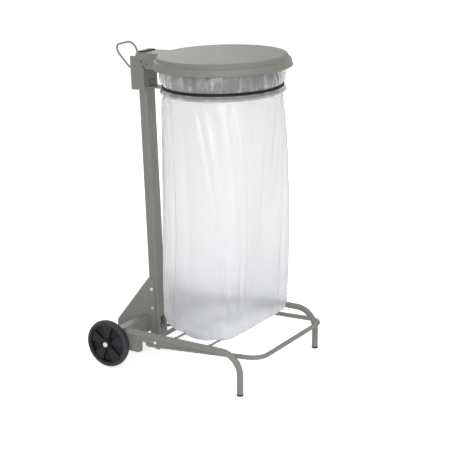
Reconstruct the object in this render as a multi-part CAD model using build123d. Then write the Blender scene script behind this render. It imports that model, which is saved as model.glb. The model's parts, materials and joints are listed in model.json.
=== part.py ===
from build123d import *
import os
from math import atan2, cos, pi, radians, sin, tan

# Bin bag holder on wheels: a leaning column on an axle and two bent side rails carries a round
# collar for a bag, a hinged lid, a wire push handle and a foot pedal that lifts the lid.
# Millimetres. +Z is up, -Y is the front (the side of the pedal), X runs along the axle.

# Side rails and front legs
rail_x = 236.0
rail_z = 127.5
rail_rear_y = 134.0
leg_y = -270.0
tube_r = 9.5
tube_wall = 1.5
leg_bend_r = 66.0
cap_height = 5.0
cap_rim = 0.7
cap_spigot_length = 18.0

# Fits between pieces
seat_gap = 0.3
slide_fit = 0.05
rivet_r = 3.2
rivet_head = 1.4

# Axle and wheels
axle_y = 206.0
axle_z = 75.0
axle_r = 6.0
wheel_r = 75.0
tyre_width = 24.0
rim_r = 64.5
hub_r = 14.0
hub_length = 26.0
web_thickness = 3.0
web_pocket_count = 5
washer_thickness = 2.7
washer_r = 12.0
axle_cap_r = 8.5
axle_cap_height = 5.5

# Folded plates at the rear of the rails, and the channel that holds the axle
plate = 2.5
side_plate_front_y = 101.0
side_plate_rear_y = 236.0
side_plate_bottom_z = 60.0
side_plate_flange = 20.0
beam_front_y = 192.5
beam_depth = 34.0
beam_bottom_z = 52.0
beam_top_z = 104.0

# Column
column_y = 179.0
column_z = 140.0
column_lean = 2.6
column_width = 48.0
column_depth = 29.0
column_wall = 1.5
column_bottom = -98.0
column_top = 762.0
groove_depth = 0.6
groove_width = 3.0

# Base bracket: two gusset sides joined by a sloping rear web
bracket_apex_z = 230.0
bracket_rear_y = 324.0
bracket_rear_z = 68.0
bracket_bottom_z = 38.0
bracket_lap = 20.0
bracket_bend_r = 6.0
bracket_rivet_drops = [36.0, 100.0]

# Rods under the bag
rest_rod_r = 3.25
rest_rod_z = 133.0
rest_rod_ys = [-158.0, -36.0]

# Pedal: a closed loop of rod that turns on two bolts under the rails
pedal_r = 7.0
pedal_front_y = -317.0
pedal_front_z = 113.0
pedal_rear_y = 80.0
pedal_rear_z = 89.0
pedal_front_x = 197.0
pedal_rear_x = 219.5
pedal_front_bend = 45.0
pedal_rear_bend = 18.0
pivot_y = 36.0
pivot_z = 107.5
pivot_r = 4.0
ear_thickness = 3.0
ear_r = 8.5
lug_gap = 0.4
lug_r = 9.0
lug_outer_x = 231.0
lug_front_y = -112.0
lug_rear_gap = 2.0
lug_nose_height = 6.0
lug_tail_height = 18.0
pivot_shoulder_r = 6.0
pivot_head_r = 5.6
pivot_head_height = 3.6
pivot_end = 10.0
nut_r = 6.5
nut_height = 6.0
tongue_width = 20.0
tongue_thickness = 6.0
tongue_tip_z = 67.4
tongue_overhang = 7.0
tongue_flat = 22.0
tongue_slot_play = 1.0
tongue_slot_height = 38.0

# Link rod inside the column
link_r = 4.0
link_pad_r = 9.0
link_pad_height = 5.0
link_play = 0.6
guide_height = 14.0
guide_inset = 6.0

# Head on top of the column, in the column's own frame: v to the rear, w up the column
head_width = 76.0
head_wall = 2.0
head_front_v = -16.5
head_rear_v = 33.0
head_lap = 58.0
head_rise = 47.0
head_bottom_w = column_top - head_lap
head_top_w = column_top + head_rise
hinge_inset = 14.5
hinge_drop = 11.5
hinge_v = head_rear_v - hinge_inset
hinge_w = head_top_w - hinge_drop
hinge_r = 4.0
hinge_boss_r = 9.0
lever_reach = 15.3
lever_drop = 12.9
lever_v = hinge_v - lever_reach
lever_w = hinge_w - lever_drop
lever_r = 3.0

# Push handle
handle_r = 3.0
handle_base_x = 31.0
handle_drop = 37.0
handle_base_w = head_top_w - handle_drop
handle_stub = 6.0
handle_seat = 9.0
handle_top_x = 57.0
handle_reach = 47.0
handle_rise = 70.0
handle_top_v = head_rear_v + handle_reach
handle_top_w = handle_base_w + handle_rise
handle_bend_r = 25.0
handle_base_bend_r = 12.0

# Ring: collar, strap and lid share one tilted frame whose origin is the middle of the strap
ring_y = -67.0
ring_z = 883.0
ring_tilt = 2.0
collar_r = 181.5
collar_wall = 1.5
collar_bottom = -20.0
collar_top = 56.0
collar_bead_r = 4.6
film = 1.1
strap_width = 9.0
strap_thickness = 1.8
lid_bottom = 56.0
lid_rim_r = 212.5
lid_rim_height = 21.0
lid_top_r = 197.0
lid_height = 36.0
lid_crown = 2.0
lid_wall = 1.5
lid_lip_r = 2.2

# Neck of the lid, which reaches back over the head, and the arms inside the head
neck_rise = 11.0
neck_tail = 15.5
neck_top_w = head_top_w + neck_rise
neck_rear_v = hinge_v - neck_tail
neck_gap = 0.6
neck_wall = 1.8
neck_nose_height = 16.0
neck_nose_length = 12.0
neck_web_height = 32.0
neck_ear_height = 50.0
neck_ear_front = 32.0
neck_ear_rear = 18.0
neck_heel_height = 44.0
neck_tail_height = 30.0
neck_rivet_places = [(5.5, 26.5), (-14.0, 33.5), (-1.0, 42.0)]
arm_x = 28.0
arm_thickness = 3.0
stop_pad_height = 4.0
stop_pad_length = 24.0

# Arm that carries the collar
carrier_width = 46.0
carrier_thickness = 4.0
carrier_foot_height = 18.0

# Bag
bag_wall = 1.8
bag_bottom_z = 137.0
bag_mouth_inset = 0.5
bag_hem = 3.0
bag_hem_drop = 6.0
bag_sections = [
    # height, growth beyond the collar at the sides, front and rear, shift of the widest
    # place to the rear, squareness of the front and of the rear
    (836.0, 3.0, 2.0, 4.0, 1.0, 2.0, 2.0),
    (600.0, 8.0, -12.5, -1.0, -1.0, 3.6, 2.1),
    (380.0, 11.5, -27.5, -8.5, -7.0, 6.5, 2.3),
    (240.0, 14.5, -37.5, -16.5, -11.0, 8.0, 2.4),
    (180.0, 15.5, -41.0, -28.5, -13.0, 8.0, 2.5),
    (150.0, 14.5, -43.5, -44.5, -13.0, 8.0, 2.6),
    (bag_bottom_z, -3.5, -60.5, -64.5, -13.0, 6.0, 2.6),
]
bag_folds = [
    # angle round the bag at the top and at the floor, depth, half width in degrees
    (-97.0, -90.0, 5.0, 9.0),
    (-58.0, -72.0, 4.0, 8.0),
    (-24.0, -44.0, 5.0, 9.0),
    (-128.0, -122.0, 4.0, 8.0),
    (38.0, 30.0, 4.0, 9.0),
    (88.0, 92.0, 4.0, 9.0),
    (146.0, 150.0, 4.0, 9.0),
    (-168.0, -160.0, 4.0, 8.0),
]

column_frame = Plane(
    origin=(0, column_y, column_z), x_dir=(1, 0, 0),
    z_dir=(0, sin(radians(column_lean)), cos(radians(column_lean))))
ring_frame = Plane(
    origin=(0, ring_y, ring_z), x_dir=(1, 0, 0),
    z_dir=(0, sin(radians(ring_tilt)), cos(radians(ring_tilt))))

half_column = column_width / 2
half_head = head_width / 2
side_plate_x = rail_x - tube_r - seat_gap
wheel_x = side_plate_x + washer_thickness + seat_gap
lug_x = pedal_rear_x - (pedal_rear_x - pedal_front_x) * (pedal_rear_y - pivot_y) / (
    pedal_rear_y - pedal_front_y)


def column_rear_y(z):
    return column_y + (z - column_z) * sin(radians(column_lean)) + column_depth / 2


def cross_bar(x0, x1, y, z, radius):
    """A round bar along X."""
    low = min(x0, x1)
    return Pos(low, y, z) * Rot(0, 90, 0) * Cylinder(
        radius, abs(x1 - x0), align=(Align.CENTER, Align.CENTER, Align.MIN))


def block(x0, x1, y0, y1, z0, z1):
    """A box given by its lowest and highest sides."""
    size = Box(abs(x1 - x0), abs(y1 - y0), abs(z1 - z0), align=(Align.MIN, Align.MIN, Align.MIN))
    return Pos(min(x0, x1), min(y0, y1), min(z0, z1)) * size


def side_sheet(outline, x0, x1):
    """A plate that lies across X, cut to an outline of (y, z) points."""
    sketch = Plane.YZ * make_face(Polyline(*outline, close=True))
    return Pos(min(x0, x1), 0, 0) * extrude(sketch, amount=abs(x1 - x0), dir=(1, 0, 0))


def mirrored(shape):
    return mirror(shape, about=Plane.YZ)


def revolved(points, radii):
    """A ring made by turning a closed outline of (radius, height) points about the ring's axis."""
    outline = FilletPolyline(*points, radius=radii, close=True)
    return revolve(Plane.XZ * make_face(outline), axis=Axis.Z)


# Side rails, legs and feet


def rail():
    path = FilletPolyline(
        (rail_x, rail_rear_y, rail_z), (rail_x, leg_y, rail_z), (rail_x, leg_y, cap_height),
        radius=leg_bend_r)
    section = Circle(tube_r) - Circle(tube_r - tube_wall)
    return sweep(Plane(origin=path @ 0, z_dir=path % 0) * section, path=path)


def foot_cap():
    rim = Cylinder(tube_r + cap_rim, cap_height, align=(Align.CENTER, Align.CENTER, Align.MIN))
    rim = fillet(rim.edges().group_by(Axis.Z)[-1], 0.6)
    spigot = Cylinder(
        tube_r - tube_wall - slide_fit, cap_height + cap_spigot_length,
        align=(Align.CENTER, Align.CENTER, Align.MIN))
    return Pos(rail_x, leg_y, 0) * (rim + spigot)


def rest_rod(y):
    drop = max(rest_rod_z - rest_rod_r - rail_z, 0)
    reach = rail_x - (tube_r**2 - drop**2) ** 0.5 - seat_gap
    return cross_bar(-reach, reach, y, rest_rod_z, rest_rod_r)


# Axle carrier


def side_plate():
    """Folded plate on the inner side of a rail, which hangs down to hold the axle."""
    outer = side_plate_x
    inner = outer - plate
    outline = [
        (side_plate_front_y, rail_z + tube_r),
        (rail_rear_y, rail_z + tube_r),
        (side_plate_rear_y, beam_top_z),
        (side_plate_rear_y, side_plate_bottom_z),
        (side_plate_front_y, side_plate_bottom_z),
    ]
    web = side_sheet(outline, inner, outer)
    flange = block(
        outer - side_plate_flange, outer, side_plate_front_y, side_plate_front_y + plate,
        side_plate_bottom_z, rail_z - tube_r)
    body = web + flange
    body = fillet(body.edges().filter_by(Axis.X).group_by(Axis.Y)[-1], axle_cap_r)
    return body - cross_bar(inner - 1, outer + 1, axle_y, axle_z, axle_r + slide_fit)


def axle_beam():
    """Folded channel, open below, which runs between the side plates over the axle."""
    end = side_plate_x - plate
    outer = block(-end, end, beam_front_y, beam_front_y + beam_depth, beam_bottom_z, beam_top_z)
    outer = fillet(outer.edges().filter_by(Axis.X).group_by(Axis.Z)[-1], 4)
    inner = block(
        -end, end, beam_front_y + plate, beam_front_y + beam_depth - plate,
        beam_bottom_z, beam_top_z - plate)
    return outer - inner


def axle():
    end = wheel_x + hub_length + seat_gap
    return cross_bar(-end, end, axle_y, axle_z, axle_r)


def axle_cap():
    start = wheel_x + hub_length + seat_gap
    cap = Cylinder(axle_cap_r, axle_cap_height, align=(Align.CENTER, Align.CENTER, Align.MIN))
    cap = fillet(cap.edges().group_by(Axis.Z)[-1], 3.5)
    return Pos(start, axle_y, axle_z) * Rot(0, 90, 0) * cap


def washer():
    ring = Cylinder(washer_r, washer_thickness, align=(Align.CENTER, Align.CENTER, Align.MIN))
    ring -= Cylinder(axle_r + slide_fit, 4 * washer_thickness)
    return Pos(side_plate_x, axle_y, axle_z) * Rot(0, 90, 0) * ring


# Wheels, turned about Z and then laid along X


def on_axle(shape):
    return Pos(wheel_x, axle_y, axle_z) * Rot(0, 90, 0) * shape


def tyre():
    crown = 5.0
    outline = [
        (rim_r, 2.0), (rim_r + 4, 0.0), (wheel_r - 2, 3.0), (wheel_r, tyre_width / 2),
        (wheel_r - 2, tyre_width - 3.0), (rim_r + 4, tyre_width), (rim_r, tyre_width - 2.0)]
    return on_axle(revolved(outline, [0, 3.0, crown, 0, crown, 3.0, 0]))


def wheel_disc():
    """Rim, dished web with five pockets on each face, and a hub that stands proud outside."""
    rim_outer = rim_r - seat_gap / 3
    rim_inner = rim_r - 5.0
    middle = tyre_width / 2
    outline = [
        (axle_r + slide_fit, 0), (hub_r, 0), (hub_r + 1, 6), (rim_inner, 6), (rim_inner, 2.5),
        (rim_outer, 2.5), (rim_outer, tyre_width - 2.5), (rim_inner, tyre_width - 2.5),
        (rim_inner, tyre_width - 6), (hub_r + 1, tyre_width - 6), (hub_r, hub_length),
        (axle_r + slide_fit, hub_length)]
    disc = revolve(Plane.XZ * make_face(Polyline(*outline, close=True)), axis=Axis.Z)
    pocket_angle = 360 / web_pocket_count / 2
    inner_r = hub_r + 5
    outer_r = rim_inner - 1.5
    half = radians(pocket_angle / 2)
    sector = make_face([
        Line((inner_r * cos(half), -inner_r * sin(half)), (outer_r * cos(half), -outer_r * sin(half))),
        ThreePointArc(
            (outer_r * cos(half), -outer_r * sin(half)), (outer_r, 0),
            (outer_r * cos(half), outer_r * sin(half))),
        Line((outer_r * cos(half), outer_r * sin(half)), (inner_r * cos(half), inner_r * sin(half))),
        ThreePointArc(
            (inner_r * cos(half), inner_r * sin(half)), (inner_r, 0),
            (inner_r * cos(half), -inner_r * sin(half))),
    ])
    front = extrude(Pos(0, 0, middle + web_thickness / 2) * sector, amount=tyre_width)
    back = extrude(Pos(0, 0, middle - web_thickness / 2) * sector, amount=-tyre_width)
    for turn in range(web_pocket_count):
        pocket = Rot(0, 0, turn * 360 / web_pocket_count)
        disc -= pocket * front
        disc -= pocket * back
    return on_axle(disc)


# Column and base bracket


def column():
    length = column_top - column_bottom
    outer = RectangleRounded(column_width, column_depth, 3.0)
    inner = RectangleRounded(column_width - 2 * column_wall, column_depth - 2 * column_wall, 1.5)
    section = outer - inner
    for x in (-column_width / 4, 0, column_width / 4):
        for side in (-1, 1):
            section -= Pos(x, side * column_depth / 2) * Rectangle(groove_width, 2 * groove_depth)
    for side in (-1, 1):
        section -= Pos(side * half_column, 0) * Rectangle(2 * groove_depth, groove_width)
    tube = Pos(0, 0, column_bottom) * extrude(section, amount=length)
    half_slot = tongue_width / 2 + tongue_slot_play
    slot = block(
        -half_slot, half_slot, -column_depth, 0, slot_bottom_w(), slot_bottom_w() + tongue_slot_height)
    return column_frame.location * (tube - slot)


def slot_bottom_w():
    """Lower end of the slot that lets the pedal's tongue into the column's front wall."""
    return tongue_tip_z - tongue_thickness - column_z


def bracket_solid(half_x, inset, bend_r):
    """The bracket's filled outline, narrower and further in by the inset, with its rear edges bent."""
    apex_y = column_rear_y(bracket_apex_z) + plate + 4 * seat_gap
    slope = atan2(bracket_apex_z - bracket_rear_z, bracket_rear_y - apex_y)
    over = 0 if inset == 0 else column_depth
    front_y = column_rear_y(bracket_bottom_z) - bracket_lap - over
    front_top_y = column_rear_y(bracket_apex_z) - bracket_lap - over
    top = (apex_y - inset * sin(slope) - over / tan(slope), bracket_apex_z - inset * cos(slope) + over)
    knee = (bracket_rear_y - inset, bracket_rear_z - inset * tan(pi / 4 - slope / 2))
    foot_z = bracket_bottom_z - over
    solid = side_sheet(
        [(front_top_y, top[1]), top, knee, (knee[0], foot_z), (front_y, foot_z)], -half_x, half_x)
    middle = ((top[0] + knee[0]) / 2, (top[1] + knee[1]) / 2)
    bent = [solid.edges().sort_by_distance((side * half_x, *middle))[0] for side in (-1, 1)]
    lower = (knee[0], (knee[1] + foot_z) / 2)
    bent += [solid.edges().sort_by_distance((side * half_x, *lower))[0] for side in (-1, 1)]
    bent.append(solid.edges().sort_by_distance((0, *knee))[0])
    return fillet(bent, bend_r)


def base_bracket():
    """One folded sheet: gusset sides on the column and a sloping web between their rear edges."""
    outer_x = half_column + plate
    body = bracket_solid(outer_x, 0, bracket_bend_r)
    body -= bracket_solid(half_column, plate, bracket_bend_r - plate)
    body -= block(
        -outer_x - 1, outer_x + 1, beam_front_y - seat_gap, beam_front_y + beam_depth + seat_gap,
        bracket_bottom_z - 10, beam_top_z + seat_gap)
    for y, z in bracket_rivet_places():
        body -= cross_bar(-outer_x - 1, outer_x + 1, y, z, rivet_r)
    return body


def bracket_rivet_places():
    inset = bracket_lap / 2
    heights = [bracket_apex_z - drop for drop in bracket_rivet_drops]
    return [(column_rear_y(z) - inset, z) for z in heights]


def bracket_rivets():
    """Dome rivets, two on each gusset, each a solid of its own against the column's side."""
    rivets = []
    for y, z in bracket_rivet_places():
        shank = cross_bar(half_column, half_column + plate, y, z, rivet_r)
        head = cross_bar(
            half_column + plate, half_column + plate + rivet_head, y, z, rivet_r * 1.7)
        head = fillet(head.edges().sort_by(Axis.X)[-1], rivet_head * 0.8)
        rivet = shank + head
        rivets += [rivet, mirrored(rivet)]
    return Compound(rivets)


# Pedal


def arm_height(y):
    share = (y - pedal_front_y) / (pedal_rear_y - pedal_front_y)
    return pedal_front_z + share * (pedal_rear_z - pedal_front_z)


def pedal_bar():
    """Closed loop of rod with an ear on each arm and a tongue that reaches under the link rod."""
    half_path = FilletPolyline(
        (0, pedal_rear_y, pedal_rear_z), (pedal_rear_x, pedal_rear_y, pedal_rear_z),
        (pedal_front_x, pedal_front_y, pedal_front_z), (0, pedal_front_y, pedal_front_z),
        radius=[pedal_rear_bend, pedal_front_bend])
    half = sweep(Plane(origin=half_path @ 0, z_dir=half_path % 0) * Circle(pedal_r), path=half_path)
    loop = half + mirrored(half)
    ear = pedal_ear()
    tip_y = column_y + (tongue_tip_z - column_z) * sin(radians(column_lean)) + tongue_overhang
    flat_y = tip_y - tongue_flat
    rise = tongue_thickness / 2
    tongue = side_sheet(
        [(pedal_rear_y, pedal_rear_z + rise), (flat_y, tongue_tip_z + rise),
         (tip_y, tongue_tip_z + rise), (tip_y, tongue_tip_z - rise),
         (flat_y, tongue_tip_z - rise), (pedal_rear_y, pedal_rear_z - rise)],
        -tongue_width / 2, tongue_width / 2)
    return loop + ear + mirrored(ear) + tongue


def pedal_ear():
    low_z = arm_height(pivot_y) - pedal_r - 3.5
    plate_x = lug_x - ear_thickness / 2
    outline = (
        Pos(pivot_y, pivot_z) * Circle(ear_r)
        + Pos(pivot_y, (pivot_z + low_z) / 2) * Rectangle(2 * ear_r, pivot_z - low_z))
    outline -= Pos(pivot_y, pivot_z) * Circle(pivot_r + slide_fit)
    return Pos(plate_x, 0, 0) * extrude(Plane.YZ * outline, amount=ear_thickness, dir=(1, 0, 0))


def pedal_lug():
    """Long plate under a rail that carries the pedal's pivot bolt."""
    inner_x = lug_outer_x - plate
    top_z = rail_z - (tube_r**2 - (rail_x - lug_outer_x) ** 2) ** 0.5 - seat_gap / 2
    rear_y = side_plate_front_y - lug_rear_gap
    outline = make_hull(
        (Pos(pivot_y, pivot_z) * Circle(lug_r)).edges()
        + [Line((lug_front_y, top_z), (lug_front_y, top_z - lug_nose_height)),
           Line((rear_y, top_z), (rear_y, top_z - lug_tail_height))])
    outline -= Pos(pivot_y, pivot_z) * Circle(pivot_r + slide_fit)
    return Pos(inner_x, 0, 0) * extrude(Plane.YZ * outline, amount=plate, dir=(1, 0, 0))


def pivot_bolt():
    """Shoulder bolt: the shoulder fills the space between the ear and the plate."""
    shoulder_start = lug_x + ear_thickness / 2 + lug_gap
    shoulder_end = lug_outer_x - plate
    shank = cross_bar(lug_x - pivot_end, lug_outer_x, pivot_y, pivot_z, pivot_r)
    shoulder = cross_bar(shoulder_start, shoulder_end, pivot_y, pivot_z, pivot_shoulder_r)
    head = cross_bar(
        lug_outer_x, lug_outer_x + pivot_head_height, pivot_y, pivot_z, pivot_head_r)
    head = fillet(head.edges().sort_by(Axis.X)[-1], pivot_head_height / 2)
    return shank + shoulder + head


def pivot_nut():
    start = lug_x - ear_thickness / 2 - seat_gap
    nut = extrude(RegularPolygon(nut_r, 6), amount=nut_height)
    nut -= Cylinder(pivot_r + slide_fit, 4 * nut_height)
    return Pos(start - nut_height, pivot_y, pivot_z) * Rot(0, 90, 0) * nut


# Link rod and its guides, in the column's frame


def link_top():
    return lever_w - lever_r - link_play


def link_rod():
    """Round rod with a rounded foot on the pedal's tongue and a pad under the lever pin."""
    foot_w = (tongue_tip_z + tongue_thickness / 2 + link_play - column_z) / cos(radians(column_lean))
    pad_start = link_top() - link_pad_height
    foot = Pos(0, 0, foot_w + link_r) * Sphere(link_r)
    rod = foot + Pos(0, 0, foot_w + link_r) * Cylinder(
        link_r, pad_start - foot_w - link_r, align=(Align.CENTER, Align.CENTER, Align.MIN))
    pad = Pos(0, 0, pad_start) * Cylinder(
        link_pad_r, link_pad_height, align=(Align.CENTER, Align.CENTER, Align.MIN))
    return column_frame.location * (rod + pad)


def rod_guides():
    guides = []
    size_x = column_width - 2 * column_wall - 0.2
    size_y = column_depth - 2 * column_wall - 0.2
    lower_w = slot_bottom_w() + tongue_slot_height + guide_inset
    for w in (lower_w, column_top - guide_height - guide_inset):
        guide = extrude(RectangleRounded(size_x, size_y, 1.5), amount=guide_height)
        guide -= Cylinder(link_r + slide_fit, 4 * guide_height)
        guides.append(column_frame.location * Pos(0, 0, w) * guide)
    return Compound(guides)


# Head


def head_housing():
    """Folded box, open at the top, with a floor plate that fits round the column."""
    depth = head_rear_v - head_front_v
    height = head_top_w - head_bottom_w
    middle_v = (head_front_v + head_rear_v) / 2
    shell = Pos(0, middle_v, head_bottom_w) * extrude(
        RectangleRounded(head_width, depth, 3.0), amount=height)
    shell -= Pos(0, middle_v, head_bottom_w + head_wall) * extrude(
        RectangleRounded(head_width - 2 * head_wall, depth - 2 * head_wall, 1.5), amount=height)
    shell -= Box(column_width + 0.1, column_depth + 0.1, 4 * (head_bottom_w + head_wall))
    slot = block(
        -arm_x - arm_thickness - 4, arm_x + arm_thickness + 4, head_rear_v - 8, head_rear_v + 8,
        hinge_w - 1, head_top_w + 1)
    shell -= slot
    shell -= cross_bar(-half_head - 1, half_head + 1, hinge_v, hinge_w, hinge_r + slide_fit)
    for side in (-1, 1):
        shell -= Pos(side * handle_base_x, head_rear_v, handle_base_w) * Rot(90, 0, 0) * Cylinder(
            handle_r + 3 * slide_fit, 12)
    return column_frame.location * shell


def hinge_pin():
    body = cross_bar(-half_head, half_head, hinge_v, hinge_w, hinge_r)
    head = cross_bar(half_head, half_head + 1.6, hinge_v, hinge_w, 6.0)
    head = fillet(head.edges().sort_by(Axis.X)[-1], 1.0)
    return column_frame.location * (body + head + mirrored(head))


def push_handle():
    path = FilletPolyline(
        (handle_base_x, head_rear_v - handle_seat, handle_base_w),
        (handle_base_x, head_rear_v + handle_stub, handle_base_w),
        (handle_top_x, handle_top_v, handle_top_w),
        (-handle_top_x, handle_top_v, handle_top_w),
        (-handle_base_x, head_rear_v + handle_stub, handle_base_w),
        (-handle_base_x, head_rear_v - handle_seat, handle_base_w),
        radius=[handle_base_bend_r, handle_bend_r, handle_bend_r, handle_base_bend_r])
    wire = sweep(Plane(origin=path @ 0, z_dir=path % 0) * Circle(handle_r), path=path)
    return column_frame.location * wire


def collar_carrier():
    """Folded strip from the front of the head to the underside of the collar's bead."""
    bead_bottom = ring_frame.location * Pos(0, collar_r, collar_bottom)
    reach = column_frame.to_local_coords(Vector(bead_bottom.position))
    top_w = reach.Z - seat_gap
    half = carrier_width / 2
    arm = block(-half, half, reach.Y, head_front_v, top_w - carrier_thickness, top_w)
    foot = block(
        -half, half, head_front_v - carrier_thickness, head_front_v,
        top_w - carrier_thickness, top_w + carrier_foot_height)
    return column_frame.location * (arm + foot)


# Collar, strap and bag, in the ring's frame


def collar():
    wall = [
        (collar_r - collar_wall, collar_bottom), (collar_r, collar_bottom),
        (collar_r, collar_top), (collar_r - collar_wall, collar_top)]
    ring = revolve(Plane.XZ * make_face(Polyline(*wall, close=True)), axis=Axis.Z)
    bead = Plane.XZ * Pos(collar_r + collar_bead_r - 0.5, collar_bottom + collar_bead_r) * Circle(
        collar_bead_r)
    return ring_frame.location * (ring + revolve(bead, axis=Axis.Z))


def skirt_r():
    return collar_r + seat_gap + film


def elastic_strap():
    inner = skirt_r() + seat_gap
    outer = inner + strap_thickness
    half = strap_width / 2
    band = [(inner, -half), (outer, -half), (outer, half), (inner, half)]
    return ring_frame.location * revolved(band, 0.7)


def bag_fold():
    """Film that comes up inside the collar, over its top edge and down under the strap."""
    inner = collar_r - collar_wall - seat_gap
    top = collar_top + seat_gap
    outline = [
        (inner - bag_hem, collar_bottom - bag_hem_drop), (inner, collar_bottom - bag_hem_drop),
        (inner, top),
        (collar_r + seat_gap, top), (collar_r + seat_gap, -strap_width), (skirt_r(), -strap_width),
        (skirt_r(), top + film), (inner - bag_hem, top + film)]
    return ring_frame.location * revolve(
        Plane.XZ * make_face(Polyline(*outline, close=True)), axis=Axis.Z)


def fold_depth(angle, low):
    """How far the film is drawn in at an angle round the bag, from the top (0) to the floor (1)."""
    depth = 0
    for top_angle, floor_angle, fold, half_width in bag_folds:
        middle = top_angle + (floor_angle - top_angle) * low
        away = abs((angle - middle + 180) % 360 - 180) / half_width
        depth += fold * max(1 - away, 0)
    return depth


def bag_outline(side, front, rear, shift, front_power, rear_power, shrink, low, count=64):
    """A rounded oblong whose front and rear halves differ: power 2 is an ellipse, more is squarer."""
    half_x = collar_r + side
    middle_y = ring_y + shift
    points = []
    for step in range(count):
        angle = 2 * pi * step / count
        c, s = cos(angle), sin(angle)
        power = rear_power if s >= 0 else front_power
        reach = collar_r + rear - shift if s >= 0 else collar_r + front + shift
        x = (half_x - shrink) * abs(c) ** (2 / power) * (1 if c >= 0 else -1)
        y = (reach - shrink) * abs(s) ** (2 / power) * (1 if s >= 0 else -1)
        inward = 1 - fold_depth(atan2(y, x) * 180 / pi, low) / (x * x + y * y) ** 0.5
        points.append((x * inward, middle_y + y * inward))
    return make_face(Spline(*points, periodic=True))


def bag_body(shrink):
    """The filled shape of the bag, from inside the collar down to its floor."""
    mouth_r = collar_r - collar_wall - seat_gap - bag_mouth_inset - shrink
    faces = [ring_frame.location * Pos(0, 0, collar_bottom - bag_hem_drop) * Circle(mouth_r)]
    top_height = bag_sections[0][0]
    for height, *outline in bag_sections:
        lift = shrink if height == bag_bottom_z else 0
        low = (top_height - height) / (top_height - bag_bottom_z)
        faces.append(Pos(0, 0, height + lift) * bag_outline(*outline, shrink, low))
    return loft(faces, ruled=True)


def bag():
    return bag_body(0) - bag_body(bag_wall) + bag_fold()


# Lid, with the neck that reaches back over the head


def lid_dish():
    top = lid_bottom + lid_height
    ledge = lid_bottom + lid_rim_height
    outer = [
        (0, top + lid_crown), (lid_top_r, top), (lid_top_r + 4, ledge + 2),
        (lid_rim_r - 5, ledge), (lid_rim_r - 1, lid_bottom + lid_lip_r)]
    bends = [7.0, 3.0, 4.0]
    inner = [(max(r - lid_wall, 0), h - lid_wall) for r, h in outer]
    outer_line = FilletPolyline(*outer, radius=bends)
    inner_line = FilletPolyline(*inner, radius=[5.5, 4.0, 3.0])
    section = make_face([
        outer_line, Line(outer_line @ 1, inner_line @ 1), inner_line, Line(outer_line @ 0, inner_line @ 0)])
    dish = revolve(Plane.XZ * section, axis=Axis.Z)
    lip = Plane.XZ * Pos(lid_rim_r - lid_lip_r, lid_bottom + lid_lip_r) * Circle(lid_lip_r)
    return ring_frame.location * (dish + revolve(lip, axis=Axis.Z))


def neck_front_v():
    """Where the rear wall of the dish stands, in the column's frame."""
    rear = ring_frame.location * Pos(0, lid_top_r + 2, lid_bottom + lid_height - 10)
    return column_frame.to_local_coords(Vector(rear.position)).Y


def lid_neck():
    outer_x = half_head + neck_gap + neck_wall
    front = neck_front_v()
    flange_rear = hinge_v - hinge_boss_r - 1.5
    outline = [
        (front, neck_top_w), (front, neck_top_w - neck_nose_height),
        (front + neck_nose_length, neck_top_w - neck_web_height),
        (head_front_v - neck_ear_front, neck_top_w - neck_ear_height),
        (head_front_v - neck_ear_rear, neck_top_w - neck_ear_height),
        (head_front_v + 2, neck_top_w - neck_heel_height),
        (flange_rear, neck_top_w - neck_tail_height), (flange_rear, neck_top_w)]
    channel = side_sheet(outline, -outer_x, outer_x)
    channel -= block(
        -outer_x + neck_wall, outer_x - neck_wall, front - 1, flange_rear + 1,
        neck_top_w - 2 * neck_ear_height, neck_top_w - neck_wall)
    return channel


def lid_arms():
    """Two inner arms that turn on the hinge pin and hold the lever pin."""
    top = neck_top_w - neck_wall
    hull_edges = (
        (Pos(hinge_v, hinge_w) * Circle(hinge_boss_r)).edges()
        + (Pos(lever_v, lever_w) * Circle(2 * lever_r)).edges()
        + [Line((head_front_v + 9, top), (neck_rear_v, top))])
    outline = make_hull(hull_edges)
    outline -= Pos(hinge_v, hinge_w) * Circle(hinge_r + slide_fit)
    outline -= Pos(lever_v, lever_w) * Circle(lever_r + slide_fit / 2)
    arm = Pos(arm_x, 0, 0) * extrude(Plane.YZ * outline, amount=arm_thickness, dir=(1, 0, 0))
    return arm + mirrored(arm)


def lid():
    upper = column_frame.location * (lid_neck() + lid_arms())
    return lid_dish() + upper


def lever_pin():
    end = arm_x + arm_thickness
    return column_frame.location * cross_bar(-end, end, lever_v, lever_w, lever_r)


def neck_rivets():
    """Three dome rivets on each flange of the lid's neck."""
    outer_x = half_head + neck_gap + neck_wall
    rivets = []
    for forward, drop in neck_rivet_places:
        head = cross_bar(
            outer_x, outer_x + rivet_head, head_front_v + forward, neck_top_w - drop, rivet_r)
        head = fillet(head.edges().sort_by(Axis.X)[-1], rivet_head * 0.7)
        rivets += [column_frame.location * head, column_frame.location * mirrored(head)]
    return Compound(rivets)


def stop_pad():
    """Rubber buffer on the rear of the neck."""
    half = half_head - 8
    rear = neck_rear_v + 3
    pad = block(-half, half, rear - stop_pad_length, rear, neck_top_w, neck_top_w + stop_pad_height)
    pad = fillet(pad.edges().group_by(Axis.Z)[-1], 1.2)
    return column_frame.location * pad


# Every piece by name

pieces = {
    "column": column(),
    "base_bracket": base_bracket(),
    "bracket_rivets": bracket_rivets(),
    "axle_beam": axle_beam(),
    "axle": axle(),
    "front_rest_rod": rest_rod(rest_rod_ys[0]),
    "rear_rest_rod": rest_rod(rest_rod_ys[1]),
    "pedal_bar": pedal_bar(),
    "link_rod": link_rod(),
    "rod_guides": rod_guides(),
    "head_housing": head_housing(),
    "hinge_pin": hinge_pin(),
    "push_handle": push_handle(),
    "collar_carrier": collar_carrier(),
    "collar": collar(),
    "elastic_strap": elastic_strap(),
    "bag": bag(),
    "lid": lid(),
    "lever_pin": lever_pin(),
    "neck_rivets": neck_rivets(),
    "stop_pad": stop_pad(),
}

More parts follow.
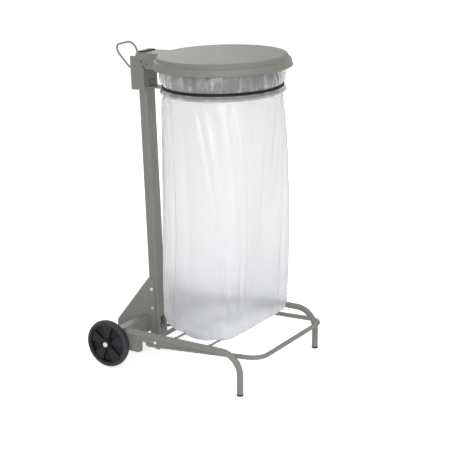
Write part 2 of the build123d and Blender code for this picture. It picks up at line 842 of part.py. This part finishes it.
paired = {
    "rail": rail(),
    "foot_cap": foot_cap(),
    "side_plate": side_plate(),
    "axle_cap": axle_cap(),
    "axle_washer": washer(),
    "tyre": tyre(),
    "wheel_disc": wheel_disc(),
    "pedal_lug": pedal_lug(),
    "pivot_bolt": pivot_bolt(),
    "pivot_nut": pivot_nut(),
}

for name, shape in paired.items():
    pieces["right_" + name] = shape
    pieces["left_" + name] = mirrored(shape)

os.makedirs("parts", exist_ok=True)
for name, shape in pieces.items():
    export_step(shape, "parts/" + name + ".step")
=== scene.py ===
import json
import math
import random

import bpy
from mathutils import Matrix, Vector, noise


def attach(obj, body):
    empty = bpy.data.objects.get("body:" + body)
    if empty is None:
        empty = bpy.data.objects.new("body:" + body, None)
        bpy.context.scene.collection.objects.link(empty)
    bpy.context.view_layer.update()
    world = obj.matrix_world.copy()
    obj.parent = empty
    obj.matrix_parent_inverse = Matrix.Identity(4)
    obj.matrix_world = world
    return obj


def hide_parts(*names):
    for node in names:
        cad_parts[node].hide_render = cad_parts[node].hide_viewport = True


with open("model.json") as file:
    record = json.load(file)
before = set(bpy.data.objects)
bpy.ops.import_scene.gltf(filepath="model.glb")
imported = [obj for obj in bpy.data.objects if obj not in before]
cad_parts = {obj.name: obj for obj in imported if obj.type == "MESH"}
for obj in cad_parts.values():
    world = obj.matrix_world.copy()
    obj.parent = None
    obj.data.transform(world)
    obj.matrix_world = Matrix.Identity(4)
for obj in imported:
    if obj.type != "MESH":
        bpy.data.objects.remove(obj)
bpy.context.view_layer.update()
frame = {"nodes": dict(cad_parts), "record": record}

# Lengths are in metres, and typed angles in degrees
MM = 0.001

# The tilted ring that carries the collar, the strap and the folded film
RING_CENTRE = (0, -0.067, 0.883)
RING_TILT = 2.0
RING = Matrix.Translation(RING_CENTRE) @ Matrix.Rotation(-math.radians(RING_TILT), 4, "X")
COLLAR_R = 0.1815
COLLAR_BOTTOM = -0.020
COLLAR_TOP = 0.056

# The two rods under the bag
FRONT_ROD_Y = -0.158
REAR_ROD_Y = -0.036
ROD_Z = 0.133

WHEEL_X = 0.2417


# Node materials


def srgb(r, g, b):
    """A colour as it looks on a screen, from 0 to 255, as the linear colour that a shader takes."""
    def linear(value):
        value /= 255
        return value / 12.92 if value <= 0.04045 else ((value + 0.055) / 1.055) ** 2.4
    return (linear(r), linear(g), linear(b), 1.0)


def scaled(colour, factor):
    return tuple(min(c * factor, 1.0) for c in colour[:3]) + (1.0,)


class Shade:
    """A node material with a Principled shader, built up by a few short calls."""

    def __init__(self, name):
        self.material = bpy.data.materials.new(name)
        self.material.use_nodes = True
        self.tree = self.material.node_tree
        self.tree.nodes.clear()
        self.output = self.add("ShaderNodeOutputMaterial")
        self.shader = self.add("ShaderNodeBsdfPrincipled")
        self.link(self.shader.outputs["BSDF"], self.output.inputs["Surface"])
        self.place = self.add("ShaderNodeTexCoord").outputs["Object"]

    def add(self, kind, **settings):
        node = self.tree.nodes.new(kind)
        for key, value in settings.items():
            setattr(node, key, value)
        return node

    def link(self, a, b):
        self.tree.links.new(a, b)

    def feed(self, value, socket):
        """Link a node's output to the socket, or write a plain value on it."""
        if hasattr(value, "links"):
            self.link(value, socket)
        else:
            socket.default_value = value

    def set(self, **values):
        for key, value in values.items():
            self.feed(value, self.shader.inputs[key.replace("_", " ")])

    def axes(self):
        node = self.add("ShaderNodeSeparateXYZ")
        self.link(self.place, node.inputs[0])
        return node.outputs

    def noise(self, scale, detail=3.0, stretch=(1.0, 1.0, 1.0), rough=0.5):
        mapping = self.add("ShaderNodeMapping")
        mapping.inputs["Scale"].default_value = stretch
        self.link(self.place, mapping.inputs["Vector"])
        node = self.add("ShaderNodeTexNoise")
        node.inputs["Scale"].default_value = scale
        node.inputs["Detail"].default_value = detail
        node.inputs["Roughness"].default_value = rough
        self.link(mapping.outputs["Vector"], node.inputs["Vector"])
        return node.outputs["Fac"]

    def ramp(self, value, dark, light, start=0.3, end=0.7):
        node = self.add("ShaderNodeValToRGB")
        for element, at, colour in zip(node.color_ramp.elements, (start, end), (dark, light)):
            element.position = at
            element.color = colour
        self.link(value, node.inputs["Fac"])
        return node.outputs["Color"]

    def spread(self, value, low, high, start=0.0, end=1.0):
        """Map start..end to low..high, and hold it there outside."""
        node = self.add("ShaderNodeMapRange")
        node.inputs["From Min"].default_value = start
        node.inputs["From Max"].default_value = end
        node.inputs["To Min"].default_value = low
        node.inputs["To Max"].default_value = high
        self.link(value, node.inputs["Value"])
        return node.outputs["Result"]

    def mix(self, factor, a, b):
        node = self.add("ShaderNodeMix", data_type="RGBA")
        # Sockets 6 and 7 are the two colours
        for value, socket in ((factor, 0), (a, 6), (b, 7)):
            self.feed(value, node.inputs[socket])
        return node.outputs[2]

    def calc(self, kind, a, b=0.0):
        node = self.add("ShaderNodeMath", operation=kind)
        self.feed(a, node.inputs[0])
        self.feed(b, node.inputs[1])
        return node.outputs[0]

    def bump(self, *heights):
        """Each height is (value, distance)."""
        normal = None
        for value, distance in heights:
            node = self.add("ShaderNodeBump")
            node.inputs["Distance"].default_value = distance
            self.link(value, node.inputs["Height"])
            if normal is not None:
                self.link(normal, node.inputs["Normal"])
            normal = node.outputs["Normal"]
        self.set(Normal=normal)


def paint(name, colour, shine=0.22):
    """Powder coat: an even colour with slight clouds and a fine orange peel."""
    s = Shade(name)
    s.set(Base_Color=s.ramp(s.noise(7.0), scaled(colour, 0.965), scaled(colour, 1.035)),
          Roughness=s.spread(s.noise(30.0), 0.40, 0.50),
          Specular_IOR_Level=shine)
    s.bump((s.noise(650.0, 2.0), 0.03 * MM), (s.noise(1500.0, 1.0), 0.01 * MM))
    return s.material


def zinc(name):
    """Zinc plate: pale metal, a little cloudy."""
    s = Shade(name)
    s.set(Base_Color=s.ramp(s.noise(70.0, 4.0), (0.50, 0.50, 0.49, 1), (0.66, 0.66, 0.65, 1)),
          Roughness=s.spread(s.noise(180.0), 0.22, 0.42),
          Metallic=1.0)
    s.bump((s.noise(500.0, 2.0), 0.03 * MM), (s.noise(90.0, 2.0), 0.02 * MM))
    return s.material


def moulded(name, colour, rough, grain=900.0, depth=0.04 * MM):
    """Moulded plastic or rubber with a dull grain."""
    s = Shade(name)
    s.set(Base_Color=s.ramp(s.noise(30.0, 4.0), scaled(colour, 0.8), scaled(colour, 1.25)),
          Roughness=s.spread(s.noise(120.0), rough - 0.07, rough + 0.07),
          Specular_IOR_Level=0.25)
    s.bump((s.noise(grain, 2.0), depth), (s.noise(grain / 6, 2.0), depth))
    return s.material


def wheel_face(name, pocket=2.2 * MM, face=4.6 * MM):
    """Wheel disc, nearly black in its pockets as painted shade. Both distances are from the disc's
    middle plane.
    """
    s = Shade(name)
    from_middle = s.calc("SUBTRACT", s.calc("ABSOLUTE", s.axes()["X"]), WHEEL_X)
    outside_pocket_shade = s.spread(s.calc("ABSOLUTE", from_middle), 0.0, 1.0, pocket, face)
    top = s.ramp(s.noise(40.0), srgb(21, 20, 23), srgb(30, 29, 33))
    # The pockets get a near-black colour: painted shade in the recesses of the same plastic
    s.set(Base_Color=s.mix(outside_pocket_shade, srgb(3, 3, 4), top),
          Roughness=s.spread(s.noise(120.0), 0.42, 0.58),
          Specular_IOR_Level=0.25)
    s.bump((s.noise(900.0, 2.0), 0.04 * MM), (s.noise(150.0, 2.0), 0.04 * MM))
    return s.material


# The film's tone changes over these heights: at the foot, where it is darker as painted shade and
# hazier, above the skirt's free edge, and above the collar's bead. The last two are lifts, which are
# heights along the ring's tilted axis.
FOOT_HAZE_AND_SHADE = (0.12, 0.40)
LIFT_SLOPE = 0.0349
STRAP_LIFT = 0.8801
SKIRT_START = (STRAP_LIFT - 0.0225, STRAP_LIFT - 0.0195)
BEAD_END = (STRAP_LIFT - 0.009, STRAP_LIFT - 0.006)


def film(name):
    """Hazy film: it scatters what shows through it, and is denser where it is seen edge on."""
    s = Shade(name)
    streaks = s.noise(9.0, stretch=(1.0, 1.0, 0.14))
    crinkle = s.noise(38.0, stretch=(1.0, 1.0, 0.5))
    gathers = s.noise(46.0, stretch=(1.0, 1.0, 0.30), rough=0.55)
    axes = s.axes()
    lift = s.calc("ADD", axes["Z"], s.calc("MULTIPLY", axes["Y"], LIFT_SLOPE))
    edge = s.add("ShaderNodeLayerWeight")
    edge.inputs["Blend"].default_value = 0.35

    # Where the film is seen edge on, near its foot (darker there as painted shade), folded over the
    # collar, gathered, on the bead
    dense = s.spread(edge.outputs["Facing"], 0.0, 1.0, 0.45, 1.0)
    low = s.spread(axes["Z"], 1.0, 0.0, *FOOT_HAZE_AND_SHADE)
    skirt = s.spread(lift, 0.0, 1.0, *SKIRT_START)
    bunched = s.calc("MULTIPLY", skirt, s.spread(gathers, 0.0, 1.0, 0.50, 0.66))
    bead = s.calc("MULTIPLY", skirt, s.spread(lift, 1.0, 0.0, *BEAD_END))

    tone = s.ramp(streaks, srgb(213, 213, 214), srgb(222, 222, 223))
    for where, share, colour in (
            (dense, 0.74, srgb(172, 173, 175)),
            # Towards the foot the film is coloured darker: painted shade, while its lower clearness
            # below is haze
            (low, 0.62, srgb(203, 205, 210)),
            (skirt, 0.85, srgb(164, 166, 169)),
            (bunched, 0.72, srgb(214, 215, 218)),
            (bead, 0.60, srgb(205, 206, 209))):
        tone = s.mix(s.calc("MULTIPLY", where, share), tone, colour)
    clear = s.spread(low, 0.82, 0.60)
    for where, share in ((bunched, 0.34), (bead, 0.22)):
        clear = s.calc("SUBTRACT", clear, s.calc("MULTIPLY", where, share))
    s.set(Base_Color=tone, Transmission_Weight=clear, Specular_IOR_Level=0.5, IOR=1.12,
          Roughness=0.54, Coat_Weight=0.5, Coat_Roughness=0.20)
    s.bump((streaks, 0.8 * MM), (crinkle, 0.5 * MM))

    # The film's shadow is pale
    bare = s.add("ShaderNodeBsdfTransparent")
    bare.inputs["Color"].default_value = (0.86, 0.86, 0.87, 1)
    shade = s.add("ShaderNodeMixShader")
    s.link(s.add("ShaderNodeLightPath").outputs["Is Shadow Ray"], shade.inputs["Fac"])
    s.link(s.shader.outputs["BSDF"], shade.inputs[1])
    s.link(bare.outputs["BSDF"], shade.inputs[2])
    s.link(shade.outputs["Shader"], s.output.inputs["Surface"])
    return s.material


GREY = srgb(130, 130, 125)
frame_paint = paint("frame_paint", GREY)
BY_SLOT = {
    "frame_paint": frame_paint,
    "lid_paint": paint("lid_paint", GREY, 0.12),
    "zinc_steel": zinc("zinc_plate"),
    "black_plastic": moulded("black_plastic", (0.022, 0.022, 0.024), 0.45),
    "buffer_rubber": moulded("black_rubber", (0.020, 0.020, 0.022), 0.60),
    "strap_elastic": moulded("strap_elastic", (0.006, 0.006, 0.008), 0.70, 1400.0, 0.08 * MM),
    "tyre_rubber": moulded("tyre_rubber", srgb(56, 55, 61), 0.62),
    "wheel_plastic": wheel_face("wheel_plastic"),
    "bag_film": film("bag_film"),
}
BY_NODE = {"neck_rivets": paint("rivet_steel", srgb(84, 84, 82)), "hinge_pin": frame_paint}

for part in frame["record"]["subparts"]:
    data = frame["nodes"][part["node"]].data
    data.materials.clear()
    data.materials.append(BY_NODE.get(part["node"], BY_SLOT[part["material_slot"]]))


# Mesh helpers


def mesh_piece(name, points, faces, slot, body="frame"):
    mesh = bpy.data.meshes.new(name)
    mesh.from_pydata([tuple(p) for p in points], [], faces)
    mesh.update()
    mesh.materials.append(BY_SLOT[slot])
    for polygon in mesh.polygons:
        polygon.use_smooth = True
    piece = bpy.data.objects.new(name, mesh)
    bpy.context.scene.collection.objects.link(piece)
    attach(piece, body)
    return piece


def grid_faces(rows, columns, closed_rows=False):
    """Quads between rows of points. Each row closes on itself, and the last may join the first."""
    faces = []
    for i in range(rows if closed_rows else rows - 1):
        for j in range(columns):
            a = i * columns + j
            b = i * columns + (j + 1) % columns
            c = (i + 1) % rows * columns + (j + 1) % columns
            d = (i + 1) % rows * columns + j
            faces.append((a, b, c, d))
    return faces


def wave(*at):
    """Smooth noise from -1 to 1 at a point. A number added to a coordinate picks another stretch."""
    return noise.noise(Vector(at))


def clamp(value):
    return min(1.0, max(0.0, value))


def turn(degrees):
    """The same direction, from -180 to 180."""
    return (degrees + 180) % 360 - 180


def bell(off, width):
    return math.exp(-((off / width) ** 2))


# Bag: one film that goes up under the strap, over the collar and down to the floor of the bag

AROUND = 448
ANGLES = [2 * math.pi * j / AROUND for j in range(AROUND)]

# The film on the ring: radii, and heights along its axis
STRAP_FILM_R = COLLAR_R + 1.1 * MM
SKIRT_FILM_R = COLLAR_R + 1.0 * MM
INNER_FILM_R = COLLAR_R - 2.4 * MM
BODY_MOUTH_R = COLLAR_R - 2.6 * MM
BODY_MOUTH = -0.024
STRAP_EDGE = 0.0055
BEAD_CENTRE = (COLLAR_R + 4.1 * MM, -0.0154)
BEAD_FILM_R = 5.4 * MM
BEAD_REACH = 76
UNDER_STRAP = (-0.0080, -0.0050, -0.0020, 0.0020, 0.0050)
RIM_CENTRE = (COLLAR_R - 0.75 * MM, COLLAR_TOP + 0.4 * MM)
RIM_FILM_R = 1.6 * MM
BEAD_STEPS = 14
SKIRT_STEPS = 24
RIM_STEPS = 4
INNER_STEPS = 8

# The skirt's folds
SKIRT_SEED = 11
SKIRT_LEAN = 9.0
SKIRT_WIDTH = (1.3, 3.4)
SKIRT_HEIGHT_MM = (1.0, 3.2)
SKIRT_STEP = (2.6, 8.0)
# A fold starts within this share of its width at the strap, and spreads by this much to the top
SKIRT_START_WIDTH = 0.55
SKIRT_SPREAD = 1.3
# It rises over the first fifth of the skirt, and loses this share of its height by the top
SKIRT_RISE = 5.0
SKIRT_FLATTENS = 0.35

# The skirt hangs off the collar all round, and more at two places: (direction, spread, distance)
SLACK = 2.4 * MM
SLACK_AT = [(-58, 38, 3.5 * MM), (122, 26, 6.5 * MM)]

BODY_TOP = 0.857
BODY_FOOT = 0.1415
BODY_ROWS = 128
FLOOR_Z = 0.1378
FLOOR_ROWS = 12
# The gathered line in the middle of the bag's floor: how far out it goes, and where it lies
SPINE_REACH = 0.55
SPINE_Y = -0.085
ROD_SAG = 11.5 * MM
FLOOR_RIPPLE = 1.0 * MM

# Relief of the body: ripples from below the collar, crumples that grow to the foot, and how far
# the film lies inside its outline
BROAD_RIPPLE = 2.6 * MM
NARROW_RIPPLE = 1.1 * MM
RIPPLE_FADE = 0.03
CRUMPLE = 8.5 * MM
CRUMPLE_LEVEL = 0.25
FOOT_FULL = 0.14
FOOT_HEIGHT = 0.12
INSET = 0.6 * MM

BAG_SECTIONS = [
    # height, half width, front y, rear y, widest y, front squareness, rear squareness
    (0.836, 0.1845, -0.2505, 0.1185, -0.066, 2.0, 2.0),
    (0.600, 0.1895, -0.2360, 0.1135, -0.068, 3.6, 2.1),
    (0.380, 0.1930, -0.2210, 0.1060, -0.074, 6.5, 2.3),
    (0.240, 0.1965, -0.2110, 0.0980, -0.078, 8.0, 2.6),
    (0.180, 0.1975, -0.2075, 0.0820, -0.080, 8.0, 3.2),
    (0.156, 0.1975, -0.2060, 0.0620, -0.080, 8.0, 3.6),
    (0.143, 0.1955, -0.2020, 0.0380, -0.080, 8.0, 3.6),
    (0.1375, 0.1850, -0.1920, 0.0200, -0.080, 7.0, 3.6),
]
SECTION_TOP = BAG_SECTIONS[0][0]

BODY_FOLDS = [
    # share of the girth at the top, share at the foot, width, depth; the girth runs from the
    # right side over the rear and the left side to the front
    (0.020, 0.030, 0.010, 0.0055),
    (0.090, 0.080, 0.012, 0.0060),
    (0.165, 0.172, 0.011, 0.0060),
    (0.235, 0.240, 0.012, 0.0055),
    (0.305, 0.292, 0.011, 0.0060),
    (0.365, 0.375, 0.010, 0.0055),
    (0.4275, 0.434, 0.008, 0.0055),
    (0.466, 0.492, 0.014, 0.0030),
    (0.518, 0.606, 0.0080, 0.0050),
    (0.560, 0.592, 0.013, 0.0025),
    (0.606, 0.640, 0.0085, 0.0040),
    (0.636, 0.668, 0.0090, 0.0038),
    (0.660, 0.690, 0.011, 0.0030),
    (0.715, 0.705, 0.013, 0.0025),
    (0.761, 0.728, 0.0085, 0.0045),
    (0.795, 0.846, 0.0085, 0.0045),
    (0.850, 0.905, 0.009, 0.0050),
    (0.905, 0.950, 0.010, 0.0055),
    (0.960, 0.985, 0.010, 0.0050),
]
# Beside each fold the film stands out in two lips: their share of its depth, and how many of its
# widths they are from it
LIP_SHARE = 0.40
LIP_AT = 2.1


def skirt_folds():
    """Folds of the skirt: (direction at the strap, lean to the collar's top, width, height in mm)."""
    rng = random.Random(SKIRT_SEED)
    folds = []
    angle = 0.0
    while angle < 356:
        lean = rng.uniform(-SKIRT_LEAN, SKIRT_LEAN)
        width = rng.uniform(*SKIRT_WIDTH)
        folds.append((angle, lean, width, rng.uniform(*SKIRT_HEIGHT_MM)))
        angle += rng.uniform(*SKIRT_STEP)
    return folds


SKIRT_FOLDS = skirt_folds()


def skirt_relief(degrees, t):
    """How far the skirt stands out at t, from 0 at the strap to 1 at the collar's top."""
    total = 0.0
    for angle, lean, width, height in SKIRT_FOLDS:
        off = abs(turn(degrees - angle - lean * t))
        reach = width * (SKIRT_START_WIDTH + SKIRT_SPREAD * t)
        if off < reach:
            total = max(total, height * (1 - off / reach))
    return total * MM * min(1.0, t * SKIRT_RISE) * (1.0 - SKIRT_FLATTENS * t)


def skirt_slack(degrees):
    """How far the loose skirt hangs off the collar in a direction."""
    total = SLACK
    for at, spread, extra in SLACK_AT:
        total += extra * bell(turn(degrees - at), spread)
    return total


def ring_row(radius, height, stand=0.0, t=0.0, loose=0.0):
    """A row of film round the ring, with a share of its folds at t and a share of its slack."""
    row = []
    for angle in ANGLES:
        degrees = math.degrees(angle)
        r = radius + stand * skirt_relief(degrees, t) + loose * skirt_slack(degrees)
        row.append(RING @ Vector((r * math.cos(angle), r * math.sin(angle), height)))
    return row


def collar_rows():
    """The film from its free edge round the bead, under the strap, up and over the collar."""
    rows = []
    for k in range(BEAD_STEPS + 1):
        t = math.radians(-BEAD_REACH + 2 * BEAD_REACH * k / BEAD_STEPS)
        radius = BEAD_CENTRE[0] + BEAD_FILM_R * math.cos(t)
        height = BEAD_CENTRE[1] + BEAD_FILM_R * math.sin(t)
        rows.append(ring_row(radius, height, 0.45, 0.2 + 0.4 * math.cos(t)))
    for height in UNDER_STRAP:
        rows.append(ring_row(STRAP_FILM_R, height))
    for k in range(1, SKIRT_STEPS + 1):
        t = k / SKIRT_STEPS
        height = STRAP_EDGE + (COLLAR_TOP - STRAP_EDGE) * t
        loose = math.sin(math.pi * t) ** 0.8 if k < SKIRT_STEPS else 0.0
        # The folds flatten again over the last fifth
        rows.append(ring_row(SKIRT_FILM_R, height, 1.0, t * (1 - max(0.0, t - 0.8) * 4.9), loose))
    for k in range(1, RIM_STEPS + 1):
        t = math.pi * k / RIM_STEPS
        radius = RIM_CENTRE[0] + RIM_FILM_R * math.cos(t)
        rows.append(ring_row(radius, RIM_CENTRE[1] + RIM_FILM_R * math.sin(t)))
    for k in range(INNER_STEPS + 1):
        height = COLLAR_TOP - 2 * MM - (COLLAR_TOP - COLLAR_BOTTOM) * k / INNER_STEPS
        rows.append(ring_row(INNER_FILM_R, height))
    return rows


def section_at(height):
    """The bag's section at a height: half width, front, rear and widest y, and two squarenesses."""
    if height >= SECTION_TOP:
        return BAG_SECTIONS[0][1:]
    for upper, lower in zip(BAG_SECTIONS, BAG_SECTIONS[1:]):
        if height >= lower[0]:
            t = (upper[0] - height) / (upper[0] - lower[0])
            return tuple(a + (b - a) * t for a, b in zip(upper[1:], lower[1:]))
    return BAG_SECTIONS[-1][1:]


def outline_point(angle, half_x, front, rear, widest, front_power, rear_power):
    c, s = math.cos(angle), math.sin(angle)
    power = rear_power if s >= 0 else front_power
    reach = rear - widest if s >= 0 else widest - front
    x = half_x * math.copysign(abs(c) ** (2 / power), c)
    y = reach * math.copysign(abs(s) ** (2 / power), s)
    return Vector((x, widest + y, 0))


def body_outline(height, section):
    """The smooth outline at a height. The top of the body leaves the collar on its tilted ring."""
    blend = max(0.0, (height - SECTION_TOP) / (BODY_TOP - SECTION_TOP))
    outline = []
    for angle in ANGLES:
        mouth = RING @ Vector((
            BODY_MOUTH_R * math.cos(angle), BODY_MOUTH_R * math.sin(angle), BODY_MOUTH))
        place = outline_point(angle, *section).lerp(Vector((mouth.x, mouth.y, 0)), blend)
        outline.append(Vector((place.x, place.y, height + (mouth.z - BODY_TOP) * blend)))
    return outline


def fold_depth(share, t, girth):
    """How far the film lies in at a share of the girth, with t from 0 at the collar to 1 below.

    The folds grow from the collar and die out at the foot."""
    depth = 0.0
    for top, foot, width, deep in BODY_FOLDS:
        off = abs((share - top - (foot - top) * t + 0.5) % 1.0 - 0.5) * girth
        if off < 4 * width:
            lips = LIP_SHARE * bell(off - LIP_AT * width, width)
            depth += deep * (bell(off, width) - lips)
    return depth * min(1.0, (1.04 - t) * 6) * (0.6 + 0.4 * min(1.0, t * 6))


def body_relief(angle, base, height, share, folded, foot):
    """How far the film stands off its outline, by folds, ripples, and crumples near its foot."""
    fade = min(1.0, (BODY_TOP - height) / RIPPLE_FADE)
    broad = wave(math.cos(angle) * 2.6, math.sin(angle) * 2.6, height * 1.6 + 5)
    narrow = wave(share * 30, 3.0, height * 1.8 + 9) * min(1.0, share * 20)
    crumple = abs(wave(base.x * 26 + 4, base.y * 26, height * 34 + base.y * 12))
    crumple += 0.6 * abs(wave(base.x * 58, base.y * 58 + 7, height * 70))
    relief = fade * (BROAD_RIPPLE * broad + NARROW_RIPPLE * narrow - folded)
    return relief - CRUMPLE * foot * (crumple - CRUMPLE_LEVEL) - INSET


def rod_gap(y):
    """1 midway between the two rods under the bag, and 0 on and outside them."""
    return math.sin(math.pi * clamp((y - FRONT_ROD_Y) / (REAR_ROD_Y - FRONT_ROD_Y)))


def body_rows():
    rows = []
    for k in range(BODY_ROWS + 1):
        t = k / BODY_ROWS
        height = BODY_TOP + (BODY_FOOT - BODY_TOP) * t
        foot = max(0.0, 1.0 - (height - FOOT_FULL) / FOOT_HEIGHT)
        section = section_at(height)
        widest = section[3]
        outline = body_outline(height, section)
        steps = [(outline[j - 1] - outline[j]).length for j in range(AROUND)]
        girth = sum(steps)
        run = -steps[0]
        row = []
        for angle, base, step in zip(ANGLES, outline, steps):
            run += step
            share = run / girth
            folded = fold_depth(share, t, girth)
            out = Vector((base.x, base.y - widest, 0)).normalized()
            sag = Vector((0, 0, -ROD_SAG * rod_gap(base.y) * foot ** 2))
            row.append(base + sag + out * body_relief(angle, base, height, share, folded, foot))
        rows.append(row)
    return rows


def floor_rows(edge_row):
    """The bag's floor, gathered to a line, on the two rods and sagging between them."""
    rows = []
    for k in range(1, FLOOR_ROWS + 1):
        t = k / FLOOR_ROWS
        row = []
        for edge in edge_row:
            spine = Vector((edge.x * SPINE_REACH, SPINE_Y, 0))
            flat = Vector((edge.x, edge.y, 0)).lerp(spine, t)
            height = FLOOR_Z + (edge.z - FLOOR_Z) * (1 - t) ** 3
            ripple = FLOOR_RIPPLE * wave(flat.x * 40, flat.y * 40, 3.0)
            sag = ROD_SAG * min(1.0, t * 4) - ripple
            row.append(Vector((flat.x, flat.y, height - sag * rod_gap(flat.y))))
        rows.append(row)
    return rows


def make_bag():
    rows = collar_rows() + body_rows()
    rows += floor_rows(rows[-1])
    points = [point for row in rows for point in row]
    faces = [tuple(reversed(face)) for face in grid_faces(len(rows), AROUND)]
    bag = mesh_piece("bag_film", points, faces, "bag_film")
    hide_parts("bag")
    return bag


bag = make_bag()


# Weld beads where the rest rods meet the rails

RAIL_INNER_X = 0.2262
WELD_R = 3.6 * MM
WELD_THICK = 1.1 * MM
WELD_UNEVEN = 0.25 * MM
WELD_AROUND = 28
WELD_SIDES = 8


def weld_bead(name, centre, side, seed):
    """A small uneven ring of weld round a rod's end."""
    points = []
    for i in range(WELD_AROUND):
        a = 2 * math.pi * i / WELD_AROUND
        thick = WELD_THICK + WELD_UNEVEN * wave(seed, i * 0.9, 2.0)
        for j in range(WELD_SIDES):
            b = 2 * math.pi * j / WELD_SIDES
            r = WELD_R + thick * math.cos(b)
            offset = Vector((side * thick * math.sin(b), r * math.cos(a), r * math.sin(a)))
            points.append(centre + offset)
    return mesh_piece(name, points, grid_faces(WELD_AROUND, WELD_SIDES, True), "frame_paint")


for side_name, side in (("left", -1), ("right", 1)):
    for rod_name, rod_y in (("front", FRONT_ROD_Y), ("rear", REAR_ROD_Y)):
        weld_bead(f"{side_name}_{rod_name}_weld", Vector((side * RAIL_INNER_X, rod_y, ROD_Z)), side,
                  rod_y * 50 + side)


# Floor, backdrop, lamps and camera

FLOOR_SIZE = 40.0
FLOOR_GLOW = 0.55
SOFT_LIGHT = 0.60
LAMP_TARGET = (0, 0, 0.5)
LAMPS = [
    # name, place, size, watts
    ("key", (-3.5, -2.0, 1.5), 1.8, 64),
    ("front", (-1.2, -4.2, 1.4), 2.4, 16),
    ("top", (0.3, -0.4, 4.2), 3.0, 20),
    ("rear", (2.4, 2.6, 2.2), 2.4, 24),
]
CAMERA_PLACE = (-3.896, -2.446, 1.775)
CAMERA_TURN = (73.67, 0.0, -58.70)
SENSOR_MM = 36.0
LENS_MM = 122.3


def backdrop_rays(tree):
    """1 for the rays that see the white backdrop: from the camera, through film and in gloss."""
    path = tree.nodes.new("ShaderNodeLightPath")
    seen = path.outputs["Is Camera Ray"]
    for ray in ("Is Transmission Ray", "Is Glossy Ray"):
        either = tree.nodes.new("ShaderNodeMath")
        either.operation = "MAXIMUM"
        tree.links.new(seen, either.inputs[0])
        tree.links.new(path.outputs[ray], either.inputs[1])
        seen = either.outputs[0]
    return seen


def make_floor():
    mesh = bpy.data.meshes.new("floor")
    corners = [(x * FLOOR_SIZE, y * FLOOR_SIZE, 0) for x, y in ((-1, -1), (1, -1), (1, 1), (-1, 1))]
    mesh.from_pydata(corners, [], [(0, 1, 2, 3)])
    floor = bpy.data.objects.new("floor", mesh)
    bpy.context.scene.collection.objects.link(floor)
    material = bpy.data.materials.new("floor_white")
    material.use_nodes = True
    tree = material.node_tree
    shader = tree.nodes["Principled BSDF"]
    shader.inputs["Base Color"].default_value = (0.86, 0.86, 0.86, 1)
    shader.inputs["Roughness"].default_value = 0.8
    shader.inputs["Specular IOR Level"].default_value = 0.1
    glow = tree.nodes.new("ShaderNodeEmission")
    glow.inputs["Strength"].default_value = FLOOR_GLOW
    add = tree.nodes.new("ShaderNodeAddShader")
    mix = tree.nodes.new("ShaderNodeMixShader")
    tree.links.new(shader.outputs["BSDF"], add.inputs[0])
    tree.links.new(glow.outputs["Emission"], add.inputs[1])
    tree.links.new(backdrop_rays(tree), mix.inputs["Fac"])
    tree.links.new(shader.outputs["BSDF"], mix.inputs[1])
    tree.links.new(add.outputs["Shader"], mix.inputs[2])
    tree.links.new(mix.outputs["Shader"], tree.nodes["Material Output"].inputs["Surface"])
    mesh.materials.append(material)


def make_world():
    world = bpy.data.worlds.new("studio")
    bpy.context.scene.world = world
    world.use_nodes = True
    tree = world.node_tree
    tree.nodes.clear()
    mix = tree.nodes.new("ShaderNodeMixShader")
    tree.links.new(backdrop_rays(tree), mix.inputs["Fac"])
    for strength, socket in ((SOFT_LIGHT, 1), (1.0, 2)):
        light = tree.nodes.new("ShaderNodeBackground")
        light.inputs["Color"].default_value = (1, 1, 1, 1)
        light.inputs["Strength"].default_value = strength
        tree.links.new(light.outputs["Background"], mix.inputs[socket])
    output = tree.nodes.new("ShaderNodeOutputWorld")
    tree.links.new(mix.outputs["Shader"], output.inputs["Surface"])


def make_lamp(name, place, size, watts):
    light = bpy.data.lights.new(name, "AREA")
    light.shape = "DISK"
    light.size = size
    light.energy = watts
    thing = bpy.data.objects.new(name, light)
    thing.location = place
    aim = Vector(LAMP_TARGET) - Vector(place)
    thing.rotation_euler = aim.to_track_quat("-Z", "Y").to_euler()
    bpy.context.scene.collection.objects.link(thing)


def make_camera():
    data = bpy.data.cameras.new("camera")
    data.sensor_width = SENSOR_MM
    data.lens = LENS_MM
    data.clip_start = 0.05
    data.clip_end = 100.0
    camera = bpy.data.objects.new("camera", data)
    camera.location = CAMERA_PLACE
    camera.rotation_euler = [math.radians(angle) for angle in CAMERA_TURN]
    bpy.context.scene.collection.objects.link(camera)
    bpy.context.scene.camera = camera


make_floor()
make_world()
for lamp in LAMPS:
    make_lamp(*lamp)
make_camera()
bpy.context.scene.view_settings.view_transform = "Standard"
